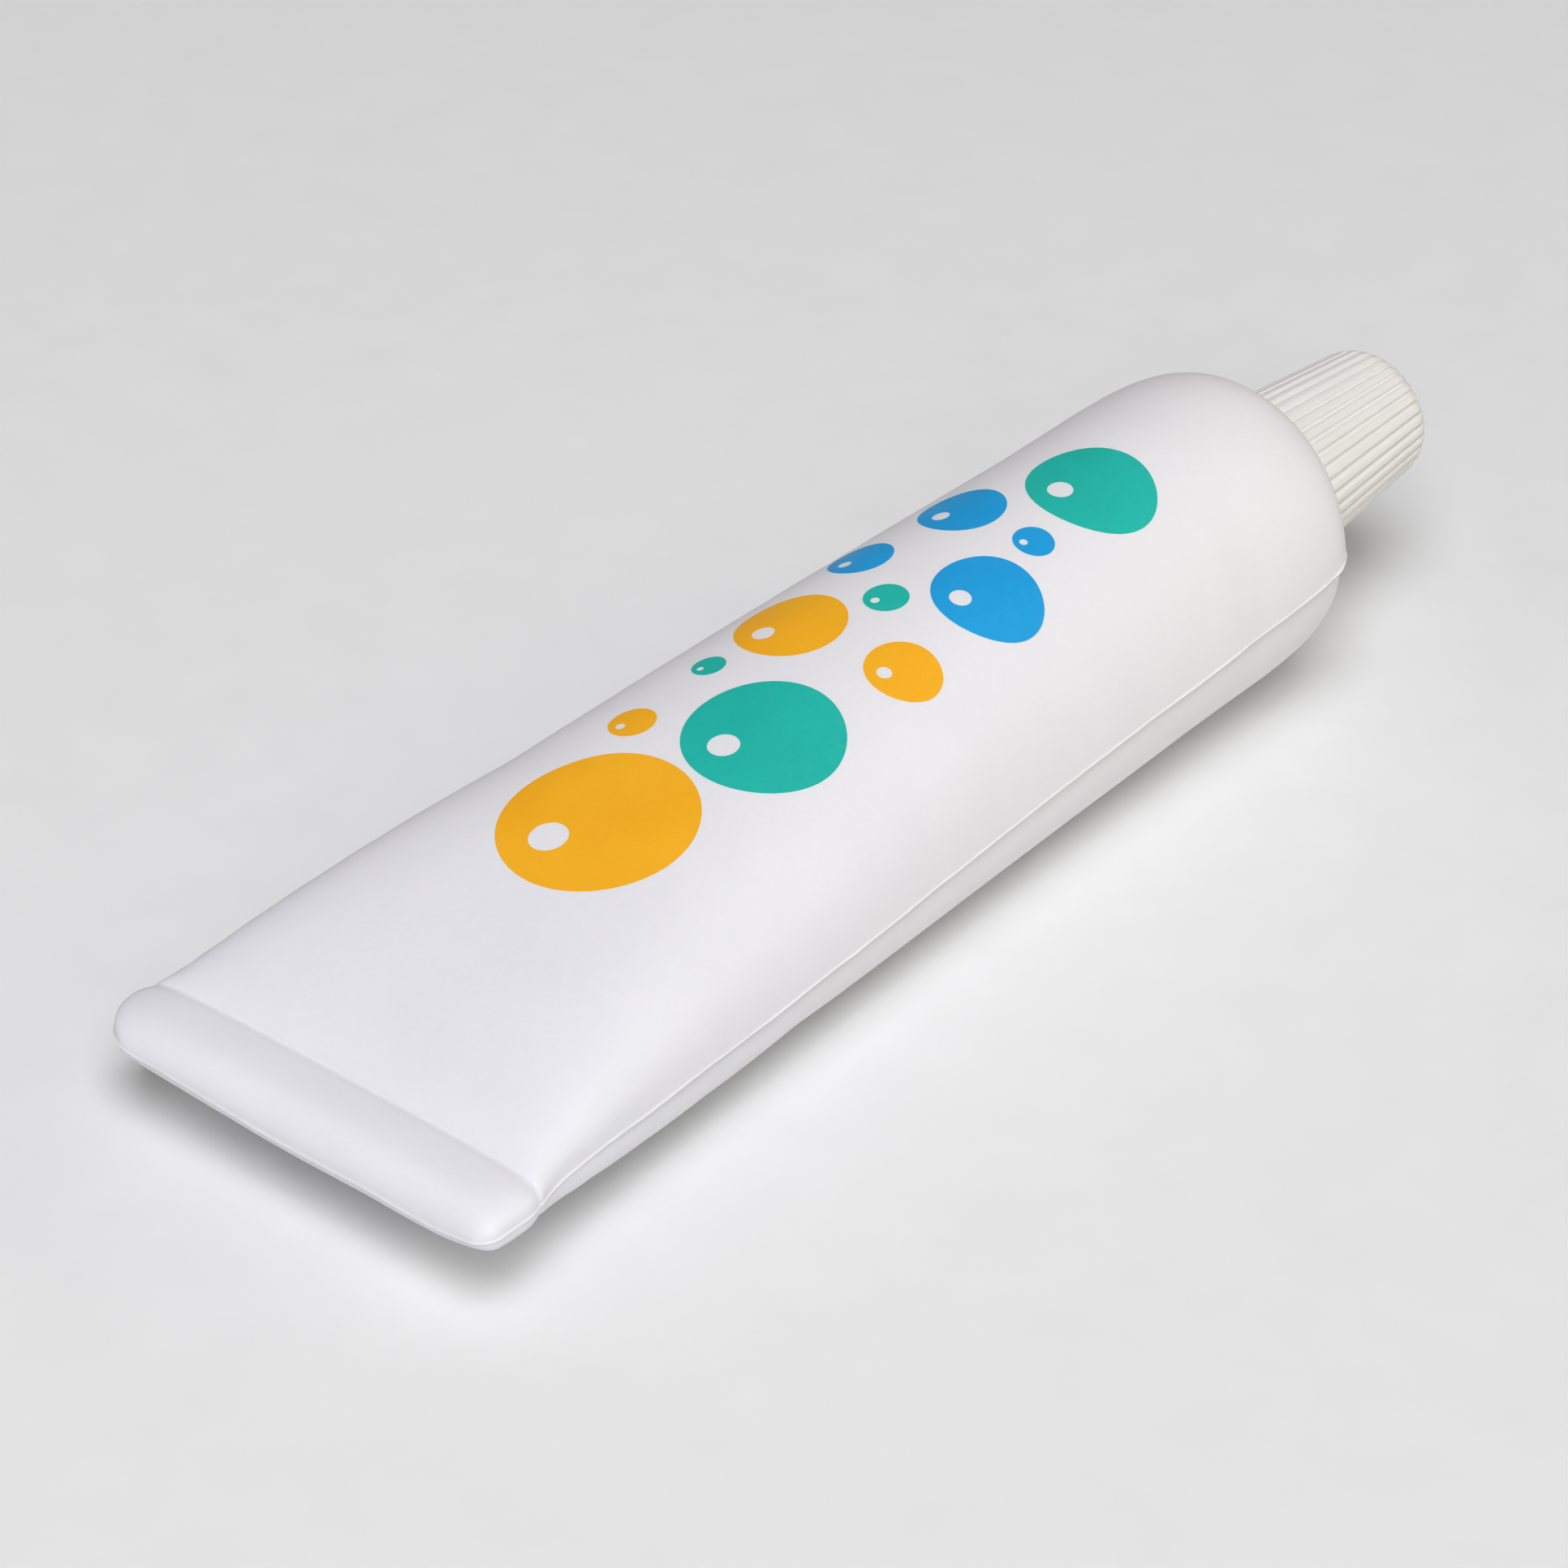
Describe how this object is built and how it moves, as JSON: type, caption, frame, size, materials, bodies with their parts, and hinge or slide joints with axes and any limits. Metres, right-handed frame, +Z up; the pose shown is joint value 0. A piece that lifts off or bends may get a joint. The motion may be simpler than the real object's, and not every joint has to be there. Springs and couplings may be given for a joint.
{
  "type": "shaving cream tube",
  "caption": "Soft white cream tube lying on its side, with a pinched pillow-shaped tail, a moulded parting line and a tapered fluted screw cap.",
  "frame": {"origin": "centre of the object's box in X and Y, on the surface it lies on", "axes": "+X from the flat tail to the cap, +Z up; the tube's own axis rises 3.8 degrees towards the cap"},
  "size_m": [0.1714, 0.0534, 0.0355],
  "materials": {
    "skin": "soft white skin with a faint lilac cast, fine foam-like grain, matt",
    "cap_plastic": "warm ivory moulded plastic, satin",
    "barrier_laminate": "thin aluminium laminate, satin",
    "liner_plastic": "translucent natural film, satin",
    "head_plastic": "natural white moulded plastic, satin",
    "insert_plastic": "smooth barrier plastic, gloss",
    "seal_foil": "peel foil, lightly dimpled, satin",
    "cream": "white shaving cream, soft sheen",
    "wad_foam": "closed-cell sealing foam, matt"
  },
  "bodies": {
    "tube": {"skin_upper": "skin", "skin_lower": "skin", "barrier_sleeve": "barrier_laminate", "inner_liner": "liner_plastic", "tube_head": "head_plastic", "shoulder_insert": "insert_plastic", "neck_foil": "seal_foil", "cream_fill": "cream"},
    "wad": {"cap_wad": "wad_foam"},
    "cap": {"cap_shell": "cap_plastic"}
  },
  "joints": [
    {"name": "cap_lift", "type": "slide", "parent": "tube", "child": "wad", "axis": [0.9978, 0, 0.0663], "range_m": [0, 0.0121]},
    {"name": "cap_turn", "type": "hinge", "parent": "wad", "child": "cap", "pos_m": [0.06399, 0, 0.0191], "axis": [0.9978, 0, 0.0663], "range_deg": [0, 1440]}
  ],
  "couplings": [
    {"joint": "cap_lift", "follows": "cap_turn", "m_per_rad": 0.00047746}
  ]
}
